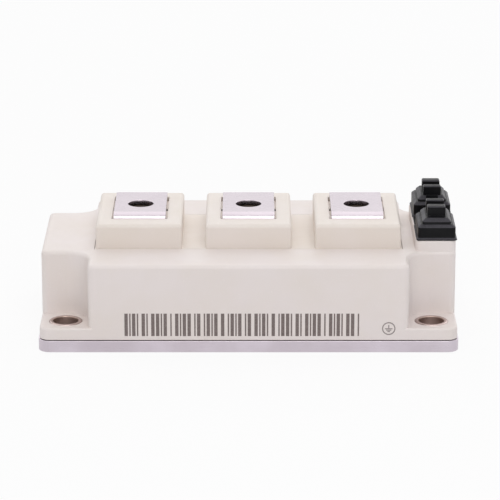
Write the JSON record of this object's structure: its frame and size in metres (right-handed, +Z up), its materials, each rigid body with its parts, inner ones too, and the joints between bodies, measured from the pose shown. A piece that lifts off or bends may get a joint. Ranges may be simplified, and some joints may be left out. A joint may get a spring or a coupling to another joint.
{
  "type": "igbt module",
  "caption": "Half-bridge power module: flat metal base, moulded housing with corner screw pockets, a row of screw terminals and capped plug tabs.",
  "frame": {"origin": "centre of the base plate's underside, which rests on the heatsink", "axes": "+X along the row of main terminals, towards the plug tabs; +Y away from the marked side; +Z up, out of the terminals"},
  "size_m": [0.1064, 0.0614, 0.0335],
  "materials": {
    "cream_plastic": "satin",
    "nickel_plate": "satin",
    "tin_plate": "satin",
    "black_rubber": "matte",
    "adhesive": "matte",
    "alumina": "matte",
    "copper_foil": "satin",
    "silicon": "polished",
    "gel": "clear"
  },
  "bodies": {
    "root": {"baseplate": "nickel_plate", "housing_adhesive": "adhesive", "housing_frame": "cream_plastic", "terminal_lid": "cream_plastic", "mount_bushing_front_left": "nickel_plate", "mount_bushing_front_right": "nickel_plate", "mount_bushing_rear_left": "nickel_plate", "mount_bushing_rear_right": "nickel_plate", "main_terminal_1": "tin_plate", "main_terminal_2": "tin_plate", "main_terminal_3": "tin_plate", "terminal_nut_1": "nickel_plate", "terminal_nut_2": "nickel_plate", "terminal_nut_3": "nickel_plate", "plug_tab_1": "tin_plate", "plug_tab_2": "tin_plate", "plug_tab_3": "tin_plate", "plug_tab_4": "tin_plate", "shorting_cap_front": "black_rubber", "shorting_cap_rear": "black_rubber", "ceramic_left": "alumina", "ceramic_right": "alumina", "underside_copper_left": "copper_foil", "underside_copper_right": "copper_foil", "copper_tracks_left": "copper_foil", "copper_tracks_right": "copper_foil", "igbt_chips": "silicon", "diode_chips": "silicon", "bond_wires": "tin_plate", "tab_leads": "copper_foil", "silicone_gel": "gel"}
  },
  "joints": []
}
